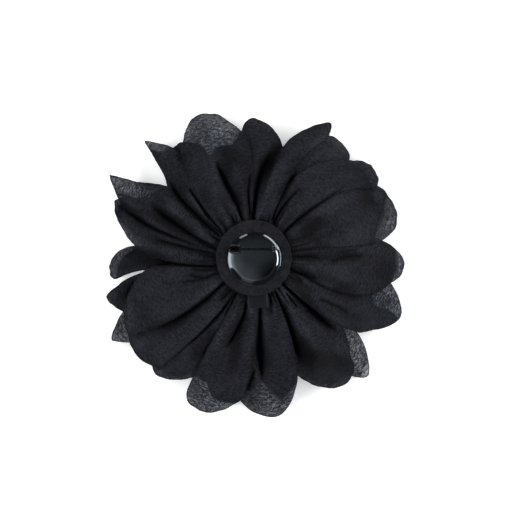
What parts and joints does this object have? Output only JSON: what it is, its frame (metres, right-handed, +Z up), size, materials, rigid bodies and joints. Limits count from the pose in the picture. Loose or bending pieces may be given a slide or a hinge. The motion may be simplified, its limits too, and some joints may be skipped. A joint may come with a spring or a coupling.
{
  "type": "fabric flower brooch",
  "caption": "Black crepe flower brooch lying on its face, with a felt backing disc, a ribbon tab and a domed pin plate with a bar pin and turning catch.",
  "frame": {"origin": "middle of the outline, on the surface that the flower lies on", "axes": "+Z up, away from the flower's face; +Y to the edge that is up in the picture; +X to its right"},
  "size_m": [0.1287, 0.1312, 0.023],
  "materials": {
    "petal_crepe": "matt, sheer where one ply lies alone",
    "centre_crepe": "matt, gathered",
    "felt": "matt felt",
    "ribbon": "satin ribbon",
    "black_nickel": "polished black nickel",
    "pin_steel": "polished dark steel"
  },
  "bodies": {
    "flower": {"petal_01": "petal_crepe", "petal_02": "petal_crepe", "petal_03": "petal_crepe", "petal_04": "petal_crepe", "petal_05": "petal_crepe", "petal_06": "petal_crepe", "petal_07": "petal_crepe", "petal_08": "petal_crepe", "petal_09": "petal_crepe", "petal_10": "petal_crepe", "petal_11": "petal_crepe", "petal_12": "petal_crepe", "petal_13": "petal_crepe", "petal_14": "petal_crepe", "petal_15": "petal_crepe", "petal_16": "petal_crepe", "petal_17": "petal_crepe", "petal_18": "petal_crepe", "petal_19": "petal_crepe", "petal_20": "petal_crepe", "petal_21": "petal_crepe", "petal_22": "petal_crepe", "flower_centre": "centre_crepe", "felt_disc": "felt", "label_tab": "ribbon", "pin_plate": "black_nickel"},
    "stem": {"pin_stem": "pin_steel"},
    "catch": {"catch_barrel": "black_nickel"}
  },
  "joints": [
    {"name": "pin_hinge", "type": "hinge", "parent": "flower", "child": "stem", "pos_m": [0.008, 0.00705, 0.0212], "axis": [0, 1, 0], "range_deg": [0, 100]},
    {"name": "catch_turn", "type": "hinge", "parent": "flower", "child": "catch", "pos_m": [-0.0088, 0.00705, 0.0212], "axis": [1, 0, 0], "range_deg": [0, 170]}
  ]
}
